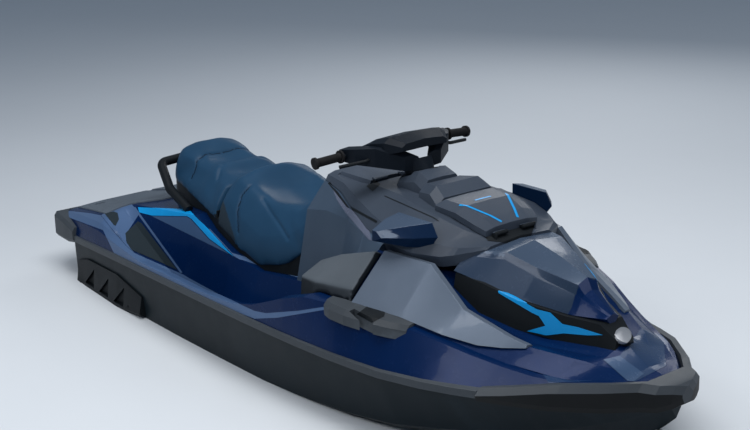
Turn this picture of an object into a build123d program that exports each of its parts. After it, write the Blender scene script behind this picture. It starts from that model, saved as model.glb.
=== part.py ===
"""Personal watercraft: jet boat with a straddle seat, swim platform and steered jet nozzle.

X runs to the bow, Y to port, Z up; the origin is on the waterline, amidships. Millimetres.
"""
import os
from math import cos, radians, sin
from build123d import *

os.makedirs("parts", exist_ok=True)

# driving dimensions
transom_x = -1500        # stern face of the hull
stern_x = -1690          # after edge of the swim platform
bow_x = 1650             # fore end of the deck
stem_x = 1690            # fore end of the hull
rail_height = 42         # rub rail
rail_proud = 9           # rub rail beyond the hull side
bumper_proud = 18        # bow bumper beyond the hull side
panel_thick = 7          # side panels
floor_thick = 42         # footwell floor and its outer wall
mat_thick = 5            # traction mats
pump_z = -50             # axis of the jet pump
pump_r = 80              # bore of the pump
pump_wall = 14
pump_front = -1080       # housing, from its flange to the tapered tail
pump_rear = -1485
impeller_x = -1270
shaft_r = 12
blades = 4               # of the impeller
blade_pitch = 42
shaft_gap = 0.05         # radial running clearance of shafts and pins
pin_r = 8                # hinge and pivot pins
tunnel_half = 130        # half width of the pump tunnel
tunnel_top = 62
steer_x = 430            # steering column, where it leaves the neck
steer_z = 790
steer_lean = 20          # degrees aft of upright
grip_r = 17
grip_length = 118
bar_r = 11
grip_end = 386           # grip end from the centreline
eye_r = 11               # bow eye opening
stern_eye_r = 9
anchor_r = 14            # cargo anchor sockets
anchor_x = -1560
anchor_y = 330
anchor_floor = 284
aft_x = -760             # the deck moulding is cut across here and at fore_x
fore_x = 0
glove_seat_z = 724       # flat seat under the glovebox lid
handle_r = 15            # grab handle tube
tail_x = -1570           # after end of the pump's tapered tail
tail_r = 62
nozzle_x = -1600         # upright pivot of the steering nozzle
nozzle_r = 56
nozzle_length = 90
gate_x = -1540           # level pivot of the reverse gate
gate_r = 175             # inside of the bucket from that pivot
arm_y = 86               # gate arms from the centreline
step_inner = 180         # boarding step rails, to starboard
step_outer = 400
step_reach = 150
step_z = 118


def columns(names, rows):
    """Columns by name, each a list of (x, value) pairs."""
    heads = names.split()
    return {h: [(r[0], r[i]) for r in rows] for i, h in enumerate(heads) if i}


def straight(pairs, x):
    """Value at x on straight lines through the pairs."""
    k = max(i for i in range(len(pairs) - 1) if i == 0 or pairs[i][0] <= x)
    (x0, v0), (x1, v1) = pairs[k], pairs[k + 1]
    return v0 + (v1 - v0) * (x - x0) / (x1 - x0)


def fair(pairs, x):
    """Value at x on a curve through the pairs that does not overshoot them."""
    n = len(pairs) - 1
    rise = [(pairs[k + 1][1] - pairs[k][1]) / (pairs[k + 1][0] - pairs[k][0]) for k in range(n)]
    pairs_of_rise = list(zip(rise, rise[1:]))
    inner = [2 * a * b / (a + b) if a * b > 0 else 0.0 for a, b in pairs_of_rise]
    slope = [rise[0]] + inner + [rise[-1]]
    k = max(i for i in range(n) if i == 0 or pairs[i][0] <= x)
    (x0, v0), (x1, v1) = pairs[k], pairs[k + 1]
    h = x1 - x0
    t = (x - x0) / h
    a = (2 * t**3 - 3 * t**2 + 1) * v0 + (t**3 - 2 * t**2 + t) * h * slope[k]
    return a + (3 * t**2 - 2 * t**3) * v1 + (t**3 - t**2) * h * slope[k + 1]


def both(half):
    """A half outline, given from the bottom up, closed with its mirror image."""
    return half + [(-y, z) for y, z in reversed(half) if y > 0]


def lofted(sections, ruled=True):
    """Solid through closed outlines, each given as (x, [(y, z), ...])."""
    with BuildPart() as body:
        for x, outline in sections:
            with BuildSketch(Plane.YZ.offset(x)):
                with BuildLine():
                    Polyline(*outline, close=True)
                make_face()
        loft(ruled=ruled)
    return body.part


def side_prism(outline, y_low, y_high):
    """Solid of an outline in side view, given as (x, z), between two widths."""
    with BuildPart() as body:
        with BuildSketch(Plane.XZ.offset(-y_low)):
            with BuildLine():
                Polyline(*outline, close=True)
            make_face()
        extrude(amount=y_low - y_high)
    return body.part


def plan_prism(outline, z_low, z_high):
    """Solid of an outline in plan, given as (x, y), between two heights."""
    with BuildPart() as body:
        with BuildSketch(Plane.XY.offset(z_low)):
            with BuildLine():
                Polyline(*outline, close=True)
            make_face()
        extrude(amount=z_high - z_low)
    return body.part


def rod(a, b, r):
    """Round bar from point a to point b."""
    start, end = Vector(*a), Vector(*b)
    with BuildPart() as body:
        with BuildSketch(Plane(start, z_dir=end - start)):
            Circle(r)
        extrude(amount=(end - start).length)
    return body.part


def block(x0, x1, y0, y1, z0, z1):
    """Box between two corners."""
    with BuildPart() as body:
        with Locations(((x0 + x1) / 2, (y0 + y1) / 2, (z0 + z1) / 2)):
            Box(x1 - x0, y1 - y0, z1 - z0)
    return body.part


def tube(points, radius, bend):
    """Round bar along a bent line."""
    with BuildPart() as body:
        with BuildLine() as path:
            FilletPolyline(*points, radius=bend)
        with BuildSketch(Plane(points[0], z_dir=path.line % 0)):
            Circle(radius)
        sweep()
    return body.part


# lines of the hull: keel, chine and the joint with the deck
hull_lines = columns("x keel_z chine_y chine_z joint_y joint_z", [
    (-1700, -205, 486, -20, 486, 176),
    (-1500, -208, 505, -18, 512, 190),
    (-1000, -218, 550, -10, 566, 228),
    (-300, -220, 566, -5, 601, 248),
    (100, -218, 566, 0, 618, 260),
    (470, -212, 552, 15, 610, 260),
    (850, -182, 500, 45, 575, 260),
    (1000, -154, 448, 66, 535, 261),
    (1200, -112, 360, 95, 450, 263),
    (1430, -8, 222, 148, 312, 266),
    (1570, 92, 122, 195, 196, 270),
    (1650, 165, 60, 228, 108, 272),
    (1690, 205, 28, 246, 54, 272),
])
# lines of the deck: gunwale shoulder, its inner rim, footwell floor, pedestal
deck_lines = columns("x shoulder_y shoulder_z rim_y rim_z out_y out_z in_y in_z side_y side_z top_z", [
    (-1690, 468, 258, 440, 270, 400, 276, 330, 280, 250, 283, 285),
    (-1500, 496, 272, 470, 296, 430, 308, 355, 318, 285, 322, 325),
    (-1230, 524, 292, 505, 322, 470, 350, 385, 372, 330, 378, 380),
    (-760, 580, 270, 535, 262, 505, 100, 372, 96, 288, 418, 420),
    (-450, 592, 274, 540, 258, 515, 98, 372, 95, 306, 318, 320),
    (-270, 602, 280, 545, 258, 518, 98, 368, 95, 282, 278, 280),
    (0, 612, 295, 552, 280, 520, 102, 360, 100, 278, 305, 307),
    (150, 612, 328, 555, 318, 515, 130, 360, 128, 285, 330, 332),
    (330, 604, 398, 556, 402, 500, 350, 400, 353, 300, 355, 357),
    (450, 586, 434, 546, 438, 500, 432, 400, 433.5, 300, 434.5, 436),
    (620, 560, 442, 524, 446, 476, 440, 380, 441.5, 280, 442.5, 444),
    (740, 532, 439, 498, 443, 450, 437, 356, 438.5, 262, 439.5, 441),
    (860, 500, 427, 466, 431, 420, 426, 330, 427.5, 245, 428.5, 430),
    (1020, 448, 396, 416, 400, 372, 395, 290, 396.5, 215, 397.5, 399),
    (1130, 402, 367, 372, 370, 330, 366, 256, 367.5, 190, 368.5, 370),
    (1240, 356, 344, 328, 347, 290, 343, 225, 344.5, 165, 345.5, 347),
    (1340, 314, 329, 288, 332, 254, 328, 196, 329.5, 142, 330.5, 332),
    (1440, 262, 323, 240, 325, 210, 321, 160, 322.5, 115, 323.5, 325),
    (1510, 204, 328, 186, 330, 162, 326, 124, 327.5, 88, 328.5, 330),
    (1570, 142, 333, 130, 334, 112, 331, 85, 332, 60, 333, 334),
    (1650, 62, 330, 56, 331, 48, 329, 36, 330, 26, 331, 332),
])
stations = [-1500, -1365, -1230, -1000, -760, -600, -450, -270, -130, 0, 150, 330, 450, 620]
stations += [740, 860, 1020, 1130, 1240, 1340, 1440, 1510, 1570, bow_x]


def hull_at(name, x):
    return fair(hull_lines[name], x)


def deck_at(name, x):
    smooth = name.startswith("shoulder")
    return (fair if smooth else straight)(deck_lines[name], x)


def hull_outline(x):
    joint = (hull_at("joint_y", x), hull_at("joint_z", x))
    chine = (hull_at("chine_y", x), hull_at("chine_z", x))
    keel = (0, hull_at("keel_z", x))
    strake = (chine[0] - 34 * chine[0] / 550, chine[1] - 26 * chine[0] / 550)
    return both([keel, strake, chine, joint])


def deck_under(x):
    """Underside of the deck, with the footwells' liners below the joint."""
    joint_y, joint_z = hull_at("joint_y", x), hull_at("joint_z", x)
    under = min(joint_z, deck_at("out_z", x) - floor_thick, deck_at("in_z", x) - floor_thick)
    liner = deck_at("out_y", x) + floor_thick + 4
    return [(0, under - 3), (liner, under - 1), ((liner + joint_y) / 2, joint_z - 1.5), (joint_y, joint_z)]


def deck_space(x):
    return both(deck_under(x) + [(0, hull_at("joint_z", x) + 60)])


def deck_outline(x):
    half = deck_under(x)
    for name in ("shoulder", "rim", "out", "in", "side"):
        half.append((deck_at(name + "_y", x), deck_at(name + "_z", x)))
    return both(half + [(0, deck_at("top_z", x))])


pocket = block(-560, 250, -190, 190, -130, 255)
tunnel_side = [
    (transom_x - 10, -300), (transom_x - 10, tunnel_top), (-980, tunnel_top),
    (-860, 25), (-480, -205), (-480, -300),
]

# deck moulding in three lengths: swim platform, footwells with the pedestal, and bow
bin_floor = 470
bin_box = block(690, 905, -150, 150, bin_floor, 800)
glove_box = block(60, 235, -85, 85, 560, 800)


def deck_length(start, end):
    marks = [x for x in [stern_x] + stations if start <= x <= end]
    return lofted([(x, deck_outline(x)) for x in marks])


with BuildPart() as deck_aft:
    add(deck_length(stern_x, aft_x))
    with Locations(*[(anchor_x, side * anchor_y, anchor_floor) for side in (-1, 1)]):
        Cylinder(anchor_r, 80, align=(Align.CENTER, Align.CENTER, Align.MIN), mode=Mode.SUBTRACT)

with BuildPart() as deck_mid:
    add(deck_length(aft_x, fore_x))
    add(pocket, mode=Mode.SUBTRACT)

with BuildPart() as deck_fore:
    add(deck_length(fore_x, bow_x))
    add(pocket, mode=Mode.SUBTRACT)

# hull: solid V bottom with chines, a pump tunnel and a pocket for the engine
with BuildPart() as hull:
    add(lofted([(x, hull_outline(x)) for x in stations + [stem_x]]))
    add(side_prism(tunnel_side, -tunnel_half, tunnel_half), mode=Mode.SUBTRACT)
    add(pocket, mode=Mode.SUBTRACT)
    add(lofted([(x, deck_space(x)) for x in stations]), mode=Mode.SUBTRACT)
    add(rod((-900, 0, pump_z), (-550, 0, pump_z), shaft_r + shaft_gap), mode=Mode.SUBTRACT)

with BuildPart() as engine:
    add(block(-500, 200, -170, 170, -130, 238))

# rub rails along the joint, stern corner to bow bumper
rail_start, rail_end = -1480, 1218
rail_stations = [rail_start] + [x for x in stations if rail_start < x < rail_end] + [rail_end]


def rail_outline(x, side, proud, low, high):
    y = hull_at("joint_y", x)
    z = hull_at("joint_z", x)
    return [(side * (y - 25), z + low), (side * (y + proud), z + low + 6),
            (side * (y + proud), z + high - 8), (side * (y - 25), z + high)]


with BuildPart() as rub_rails:
    for side in (-1, 1):
        half = rail_height / 2
        add(lofted([(x, rail_outline(x, side, rail_proud, -half, half)) for x in rail_stations]))
    for solid in (hull.part, deck_aft.part, deck_mid.part, deck_fore.part):
        add(solid, mode=Mode.SUBTRACT)

# bow bumper wraps the stem
bumper_rows = [
    # x, low, high
    (rail_end + 1, 240, 286), (1300, 238, 300), (1430, 236, 326), (1560, 240, 338), (1640, 246, 344),
]
stem_rows = [
    # x, half width outside, low, high
    (stem_x, 112, 252, 344), (1718, 62, 262, 340), (1732, 26, 274, 332),
]


def bumper_outline(y, low, high):
    return both([(0, low), (y - 10, low), (y, low + 20), (y, high - 25), (y - 22, high), (0, high)])


with BuildPart() as bow_bumper:
    around = [(x, hull_at("joint_y", x) + bumper_proud, low, high) for x, low, high in bumper_rows]
    add(lofted([(x, bumper_outline(y, low, high)) for x, y, low, high in around + stem_rows]))
    for solid in (hull.part, deck_fore.part):
        add(solid, mode=Mode.SUBTRACT)
    core = [(x, max(hull_at("joint_y", x) - 30, 10)) for x in (1200, 1300, 1430, 1560, 1640)]
    outline = core + [(x, -y) for x, y in reversed(core)]
    add(plan_prism(outline, 0, 500), mode=Mode.SUBTRACT)

# stern bumper: one band around the after edge of the platform
with BuildPart() as stern_bumper:
    rows = [(-1738, 446, 165, 262), (-1706, 506, 150, 275), (-1560, 526, 158, 262), (-1481, 530, 172, 246)]
    add(lofted([(x, both([(0, lo), (y - 14, lo), (y, lo + 18), (y, hi - 18), (y - 14, hi), (0, hi)]))
                for x, y, lo, hi in rows]))
    for solid in (hull.part, deck_aft.part):
        add(solid, mode=Mode.SUBTRACT)
    core = [(-1690, -440), (-1470, -470), (-1470, 470), (-1690, 440)]
    add(plan_prism(core, 0, 400), mode=Mode.SUBTRACT)

# sponsons: fins on the after chine with three pockets in each
sponson_rows = [
    # x, low, high
    (-1440, -20, 100), (-1320, -30, 132), (-1000, -16, 146), (-770, 12, 100),
]
with BuildPart() as sponsons:
    for side in (-1, 1):
        fins = [(x, hull_at("chine_y", x), low, high) for x, low, high in sponson_rows]
        add(lofted([(x, [(side * (y - 3), low), (side * (y + 26), low), (side * (y + 34), low + 14),
                         (side * (y + 18), high), (side * (y - 3), high)]) for x, y, low, high in fins]))
    for x in (-1345, -1185, -1025):
        pocket_side = [(x, 15), (x + 100, 15), (x + 100, 105)]
        for side in (-1, 1):
            far = side * (hull_at("chine_y", x) + 60)
            near = side * (hull_at("chine_y", x) + 16)
            add(side_prism(pocket_side, min(near, far), max(near, far)), mode=Mode.SUBTRACT)
    for solid in (hull.part, deck_aft.part):
        add(solid, mode=Mode.SUBTRACT)

# foredeck: raised body under the hood, with a trough each side of it
fore_lines = columns("x ridge_y ridge_z trough_y trough_z mid_z", [
    (620, 368, 606, 345, 596, 598),
    (860, 324, 596, 300, 555, 558),
    (1020, 316, 470, 268, 446, 450),
    (1240, 262, 396, 205, 386, 400),
    (1400, 178, 372, 116, 370, 404),
    (1460, 130, 354, 82, 372, 404),
    (1570, 66, 340, 43, 342, 346),
    (1640, 36, 333, 22, 334, 335),
])


def fore_outline(x):
    base = deck_at("shoulder_z", x) - 30
    half = [(0, base), (deck_at("rim_y", x), base), (deck_at("rim_y", x), deck_at("rim_z", x))]
    for name in ("ridge", "trough"):
        half.append((straight(fore_lines[name + "_y"], x), straight(fore_lines[name + "_z"], x)))
    return both(half + [(0, straight(fore_lines["mid_z"], x))])


with BuildPart() as foredeck:
    add(lofted([(x, fore_outline(x)) for x in (620, 740, 860, 1020, 1130, 1240, 1400, 1460, 1570, 1640)]))
    add(bin_box, mode=Mode.SUBTRACT)
    add(deck_fore.part, mode=Mode.SUBTRACT)
    add(bow_bumper.part, mode=Mode.SUBTRACT)


# side panels over the foredeck's flanks, tapering to a point
panel_rise = [
    # x, place of the panel's foot between the rim and the ridge
    (655, 0.0), (1020, 0.03), (1130, 0.2), (1200, 0.5), (1262, 0.9),
]


def panel_outline(x, side):
    rise = straight(panel_rise, x)
    head = (straight(fore_lines["ridge_y"], x), straight(fore_lines["ridge_z"], x))
    rim = (deck_at("rim_y", x) + 2, deck_at("rim_z", x) + 6)
    foot = (rim[0] + (head[0] - rim[0]) * rise, rim[1] + (head[1] - rim[1]) * rise)
    left = 1 - rise
    out = [(foot[0] - 4 - 26 * left, foot[1]), (foot[0] + panel_thick, foot[1] + 2),
           (head[0] + panel_thick, head[1] + panel_thick), (head[0] - 14, head[1] + panel_thick - 2),
           (head[0] - 20, head[1] - 20 * left)]
    return [(side * y, z) for y, z in out]


with BuildPart() as side_panels:
    for side in (-1, 1):
        add(lofted([(x, panel_outline(x, side)) for x in (655, 740, 860, 1020, 1130, 1200, 1262)]))
    for solid in (foredeck.part, deck_fore.part):
        add(solid, mode=Mode.SUBTRACT)

# hood over the bow, with a raised dome along its middle
hood_rows = [
    # x, lip y, lip z, foot of the dome y, z, edge of the dome y, z, middle z
    (912, 268, 578, 215, 622, 185, 636, 646), (1040, 218, 542, 150, 622, 136, 646, 662),
    (1150, 178, 514, 116, 584, 102, 610, 636), (1290, 92, 476, 58, 538, 46, 570, 588),
    (1312, 80, 474, 48, 526, 36, 538, 548), (1408, 30, 474, 18, 481, 9, 484, 486),
]
hood_thick = 24
with BuildPart() as hood:
    add(lofted([(x, both([(0, lz - hood_thick), (ly - 20, lz - hood_thick + 1), (ly, lz),
                          (fy, fz), (ey, ez), (0, mz)])) for x, ly, lz, fy, fz, ey, ez, mz in hood_rows]))
    add(foredeck.part, mode=Mode.SUBTRACT)

# dark grille between hood and trough
grille_rows = [
    # x, half width at the top, low, high
    (915, 262, 500, 570), (1020, 236, 440, 552), (1150, 190, 410, 512), (1290, 108, 385, 474),
    (1400, 56, 365, 462), (1462, 40, 365, 416),
]
disc_r = 34                    # plain round boss on the nose
with BuildPart() as grille:
    add(lofted([(x, both([(0, lo), (y + 14, lo), (y, hi), (0, hi)])) for x, y, lo, hi in grille_rows]))
    with BuildSketch(Plane((1452, 0, 410), z_dir=(0.45, 0, 0.9))):
        Circle(disc_r)
    extrude(amount=16)
    for solid in (foredeck.part, hood.part, side_panels.part):
        add(solid, mode=Mode.SUBTRACT)

# tank cowl: body between the seat and the console
cowl_rows = [
    # x, foot y, foot z, hip y, hip z, waist y, waist z, top y, top z
    (-20, 276, 300, 246, 430, 212, 590, 118, 694),
    (130, 284, 320, 262, 450, 228, 620, 170, 684),
    (300, 330, 350, 290, 480, 255, 625, 240, 660),
    (480, 470, 434, 350, 560, 320, 628, 308, 642),
    (618, 520, 440, 395, 572, 352, 618, 338, 626),
]
with BuildPart() as tank_cowl:
    add(lofted([(x, both([(0, fz - 30), (fy, fz - 30), (fy, fz), (hy, hz), (wy, wz), (ty, tz), (0, tz)]))
                for x, fy, fz, hy, hz, wy, wz, ty, tz in cowl_rows]))
    for solid in (deck_mid.part, deck_fore.part, glove_box, pocket):
        add(solid, mode=Mode.SUBTRACT)

# console: dark cover from the seat to the front lip
console_rows = [
    # x, lower y, lower z, side y, side z, top y, top z, middle z
    (-15, 119, 696, 106, 716, 70, 726, 728), (150, 168, 688, 155, 722, 100, 738, 740),
    (320, 242, 662, 222, 706, 130, 742, 746), (480, 310, 644, 282, 694, 150, 744, 750),
    (620, 342, 630, 322, 682, 190, 738, 744), (760, 332, 620, 310, 672, 196, 722, 728),
    (860, 290, 620, 268, 656, 172, 694, 702), (905, 262, 630, 240, 652, 140, 678, 684),
    (968, 160, 644, 146, 652, 56, 658, 662),
]
lid_rows = [
    # x, half width, edge z, middle z, under z
    (700, 166, 750, 764, 730), (800, 158, 740, 758, 716), (880, 146, 714, 728, 690), (926, 128, 694, 704, 672),
]
lid_gap = 6                    # between a lid and its recess
mouth_ledge = 12               # ledge the lid rests on round the storage bin's mouth
hinge_r = 4                    # lid hinge pins
knuckle_r = 8
lid_hinge = (940, 680)         # x, z of the storage lid's hinge
glove_hinge = (275, 748)       # x, z of the glovebox lid's hinge
knuckles = (38, 92)            # reach of a knuckle from the centreline
lug = 8                        # thickness of the hinge lugs


def hinge_lugs(x, z, foot):
    """Two lugs and their pins for a lid hinge, standing on foot."""
    with BuildPart() as body:
        for side in (-1, 1):
            y0, y1 = sorted((side * (knuckles[1] + 1), side * (knuckles[1] + 1 + lug)))
            add(block(x - knuckle_r, x + knuckle_r, y0, y1, foot, z + knuckle_r - 2))
            add(rod((x, side * knuckles[0], z), (x, side * (knuckles[1] + 4), z), hinge_r))
    return body.part


def hinge_knuckles(x, z, reach):
    """Two knuckles with a web back to the lid's edge at reach."""
    with BuildPart() as body:
        for side in (-1, 1):
            near, far = side * knuckles[0], side * knuckles[1]
            add(rod((x, near, z), (x, far, z), knuckle_r))
            add(block(reach, x, min(near, far), max(near, far), z - 5, z + 5))
            add(rod((x, near - side * 5, z), (x, far + side * 5, z), hinge_r + shaft_gap), mode=Mode.SUBTRACT)
    return body.part


with BuildPart() as console:
    add(lofted([(x, both([(0, lz - 40), (ly - 15, lz - 40), (ly, lz), (sy, sz), (ty, tz), (0, mz)]))
                for x, ly, lz, sy, sz, ty, tz, mz in console_rows]))
    for solid in (tank_cowl.part, foredeck.part, hood.part, grille.part, side_panels.part, glove_box):
        add(solid, mode=Mode.SUBTRACT)
    add(block(40, glove_hinge[0] + 14, -130, 130, glove_seat_z, 900), mode=Mode.SUBTRACT)
    mouth = [(x, y - mouth_ledge) for x, y, ez, mz, uz in lid_rows if x < 900]
    outline = [(mouth[0][0] + mouth_ledge, mouth[0][1])] + mouth[1:]
    add(plan_prism(outline + [(x, -y) for x, y in reversed(outline)], 560, 800), mode=Mode.SUBTRACT)
    recess = [(x, y + lid_gap, uz) for x, y, ez, mz, uz in lid_rows] + [(958, 116, 660)]
    add(lofted([(x, both([(0, uz), (y, uz), (y, 900), (0, 900)])) for x, y, uz in recess]), mode=Mode.SUBTRACT)
    add(hinge_lugs(*lid_hinge, 657))
    add(hinge_lugs(*glove_hinge, glove_seat_z - 4))

# storage lid on the console, hinged at its front edge
with BuildPart() as storage_lid:
    add(lofted([(x, both([(0, uz + 1), (y, uz + 1), (y, ez), (y - 50, mz - 2), (0, mz)]))
                for x, y, ez, mz, uz in lid_rows]))
    add(hinge_knuckles(*lid_hinge, 922))

# gauge pod behind the lid
gauge_rows = [(560, 118, 788), (640, 138, 798), (694, 150, 766)]
with BuildPart() as gauge_pod:
    add(lofted([(x, both([(0, 715), (y + 10, 715), (y, z - 26), (y - 34, z), (0, z)]))
                for x, y, z in gauge_rows]))
    add(console.part, mode=Mode.SUBTRACT)

# mirrors: pods on the console sides, glass facing aft
mirror_rows = [
    # y, x aft, x fore, z low, z high
    (285, 640, 850, 640, 735), (345, 635, 790, 642, 722), (412, 640, 690, 655, 694),
]
with BuildPart() as mirrors:
    for side in (-1, 1):
        for y, xa, xf, zl, zh in mirror_rows:
            with BuildSketch(Plane.XZ.offset(-side * y)):
                with BuildLine():
                    Polyline((xa, zl), (xf - 40, zl), (xf, (zl + zh) / 2), (xf - 30, zh), (xa, zh), close=True)
                make_face()
        loft(ruled=True)
    for solid in (console.part, foredeck.part, side_panels.part, tank_cowl.part):
        add(solid, mode=Mode.SUBTRACT)

with BuildPart() as mirror_glass:
    for side in (-1, 1):
        add(block(634, 639, min(side * 340, side * 400), max(side * 340, side * 400), 656, 692))
    add(mirrors.part, mode=Mode.SUBTRACT)

# steering neck fixed on the console, and the turning bar on it
lean = radians(steer_lean)
column_dir = (-sin(lean), 0, cos(lean))


def on_column(d):
    return (steer_x + d * column_dir[0], 0, steer_z + d * column_dir[2])


neck_rows = [
    # x, half width, top z
    (352, 62, 764), (400, 84, 800), (500, 92, 822), (556, 96, 800),
]
with BuildPart() as neck:
    add(lofted([(x, both([(0, 700), (y + 8, 700), (y, z - 40), (y - 26, z - 3), (0, z)]))
                for x, y, z in neck_rows]))
    add(rod(on_column(-2), on_column(90), 76), mode=Mode.SUBTRACT)
    add(rod(on_column(-30), on_column(60), pin_r))
    for solid in (console.part, gauge_pod.part):
        add(solid, mode=Mode.SUBTRACT)

head_height = 50               # turning head above the neck's ring
arm_rows = [
    # x, inner y, inner z, outer y, outer z, depth of the arm
    (268, 172, 846, 264, 852, 44), (330, 138, 838, 236, 842, 60),
    (385, 88, 826, 186, 834, 72), (446, 22, 808, 92, 814, 52),
]
head_plane = Plane(on_column(4), x_dir=(cos(lean), 0, sin(lean)), z_dir=column_dir)
with BuildPart() as handlebar:
    with BuildSketch(head_plane):
        Ellipse(60, 54)
    with BuildSketch(head_plane.offset(head_height)):
        Ellipse(50, 64)
    loft()
    for side in (-1, 1):
        for low, high in zip(arm_rows, arm_rows[1:]):
            add(lofted([(x, [(side * iy, iz), (side * oy, oz), (side * oy, oz + rise),
                             (side * (iy + oy) / 2, iz + rise + 10), (side * iy, iz + rise)])
                        for x, iy, iz, oy, oz, rise in (low, high)]))
    for side in (-1, 1):
        add(rod((285, side * 200, 872), (285, side * 275, 872), bar_r))
    add(rod(on_column(0), on_column(70), pin_r + shaft_gap), mode=Mode.SUBTRACT)

pad_rows = [
    # x, half width, underside, edge, crown
    (298, 176, 880, 900, 912), (340, 172, 876, 914, 934), (400, 152, 878, 924, 948), (458, 112, 894, 910, 928),
]
with BuildPart() as bar_pad:
    add(lofted([(x, both([(0, low + 2), (y, low), (y, edge), (y * 0.82, crown - 6), (0, crown)]))
                for x, y, low, edge, crown in pad_rows]))
    add(handlebar.part, mode=Mode.SUBTRACT)

with BuildPart() as grips:
    for side in (-1, 1):
        inner_y = side * (grip_end - grip_length)
        add(rod((285, inner_y, 872), (272, side * grip_end, 862), grip_r))
        add(rod((285, inner_y, 872), (285, inner_y + side * 8, 872), grip_r + 8))
        add(rod((273, side * (grip_end - 10), 863), (272, side * grip_end, 862), grip_r + 6))
    add(handlebar.part, mode=Mode.SUBTRACT)

with BuildPart() as levers:
    for side in (-1, 1):
        add(tube([(360, side * 180, 866), (368, side * 212, 860), (338, side * 318, 850)], 7, 24))
    add(handlebar.part, mode=Mode.SUBTRACT)

# glovebox lid on the console, hinged at its front edge
with BuildPart() as glovebox_lid:
    add(lofted([(46, both([(0, glove_seat_z), (92, glove_seat_z), (84, 736), (0, 742)])),
                (258, both([(0, glove_seat_z), (112, glove_seat_z), (104, 744), (0, 750)]))]))
    add(hinge_knuckles(*glove_hinge, 250))

# knee pods at the front of the footwells
pod_rows = [
    # x, outer y, foot z, shoulder y, z, crown y, z, inner y
    (288, 486, 335, 476, 450, 380, 490, 280), (420, 520, 382, 504, 468, 385, 545, 280),
    (645, 525, 440, 510, 498, 400, 616, 340),
]
vents = 3                      # slots across the top of each pod
vent_x = 372
vent_pitch = 26
vent_wide = 11
with BuildPart() as knee_pods:
    for side in (-1, 1):
        add(lofted([(x, [(side * oy, fz), (side * sy, sz), (side * cy, cz), (side * (iy + 24), cz - 18),
                         (side * iy, fz)]) for x, oy, fz, sy, sz, cy, cz, iy in pod_rows]))
        for k in range(vents):
            x = vent_x + k * vent_pitch
            near, far = side * 300, side * 366
            add(block(x, x + vent_wide, min(near, far), max(near, far), 470, 640), mode=Mode.SUBTRACT)
    for solid in (deck_fore.part, tank_cowl.part, foredeck.part, side_panels.part):
        add(solid, mode=Mode.SUBTRACT)

# gunwale cleats: brackets on the shoulder with a slot for a line
cleat_rows = [
    # x, reach beyond the shoulder
    (560, 6), (610, 30), (690, 46), (800, 46), (860, 30), (912, 6),
]
slot = (705, 812)              # of the cleat, along the craft
slot_gap = 22
with BuildPart() as cleats:
    for side in (-1, 1):
        shoulder = [(x, deck_at("shoulder_y", x), deck_at("shoulder_z", x), out) for x, out in cleat_rows]
        add(lofted([(x, [(side * (y - 36), z + 14), (side * (y - 20), z - 52), (side * (y + out), z - 46),
                         (side * (y + out), z - 10), (side * (y + out - 16), z + 8)])
                    for x, y, z, out in shoulder]))
        near = side * (deck_at("shoulder_y", slot[0]) + 10)
        far = near + side * slot_gap
        add(block(*slot, min(near, far), max(near, far), 300, 600), mode=Mode.SUBTRACT)
    for solid in (deck_fore.part, foredeck.part, side_panels.part, knee_pods.part):
        add(solid, mode=Mode.SUBTRACT)

# seats on a black base
front_rows = [
    # x, low y, low z, hip y, hip z, edge y, edge z, middle z
    (-626, 282, 430, 262, 500, 176, 588, 606), (-560, 288, 402, 268, 492, 186, 612, 624),
    (-436, 292, 354, 276, 450, 208, 580, 536), (-304, 284, 308, 272, 424, 206, 552, 512),
    (-136, 268, 346, 258, 430, 190, 566, 534), (-30, 252, 420, 236, 490, 160, 630, 630),
    (30, 228, 500, 210, 566, 140, 664, 676),
]
rear_rows = [
    (-1126, 176, 502, 174, 570, 128, 634, 644), (-1084, 196, 503, 192, 572, 152, 650, 662),
    (-1010, 212, 500, 206, 566, 168, 638, 636), (-900, 228, 478, 216, 550, 180, 604, 580),
    (-760, 252, 456, 234, 524, 190, 580, 556), (-632, 276, 436, 252, 506, 192, 566, 576),
]


def seat_outline(ly, lz, hy, hz, ey, ez, mz):
    return both([(0, lz - 2), (ly, lz), (hy, hz), (ey, ez), (ey * 0.5, ez * 0.2 + mz * 0.8 + 3), (0, mz)])


with BuildPart() as seat_front:
    add(lofted([(r[0], seat_outline(*r[1:])) for r in front_rows]))
    for solid in (tank_cowl.part, console.part):
        add(solid, mode=Mode.SUBTRACT)

with BuildPart() as seat_rear:
    add(lofted([(r[0], seat_outline(*r[1:])) for r in rear_rows]))

base_inset = 18                # seat base inside the seats' lower edge
with BuildPart() as seat_base:
    rows = [(r[0], r[1] - base_inset, r[2]) for r in rear_rows[:-1] + front_rows[:-1]]
    add(lofted([(x, both([(0, 262), (y + 10, 260), (y, z + 30), (0, z + 32)])) for x, y, z in rows]))
    for part in (deck_aft, deck_mid, deck_fore, tank_cowl, seat_front, seat_rear):
        add(part.part, mode=Mode.SUBTRACT)

# grab handle behind the rear seat
with BuildPart() as grab_handle:
    hoop = [(-860, -258, 418), (-1030, -248, 478), (-1172, -205, 566), (-1194, 0, 572),
            (-1172, 205, 566), (-1030, 248, 478), (-860, 258, 418)]
    add(tube(hoop, handle_r, 45))
    for solid in (deck_aft.part, seat_rear.part, seat_base.part):
        add(solid, mode=Mode.SUBTRACT)

# traction mats on the platform and in the footwells
platform_plan = [(-1670, 20), (-1670, 395), (-1500, 420), (-1270, 455), (-1240, 330), (-1180, 200),
                 (-1180, 20)]
with BuildPart() as platform_mats:
    for side in (-1, 1):
        add(plan_prism([(x, side * y) for x, y in platform_plan], 240, 420))
    add(deck_aft.part.moved(Location((0, 0, mat_thick))), mode=Mode.INTERSECT)
    add(deck_aft.part, mode=Mode.SUBTRACT)
    with Locations(*[(anchor_x, side * anchor_y, 300) for side in (-1, 1)]):
        Cylinder(anchor_r + 12, 200, mode=Mode.SUBTRACT)

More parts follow.
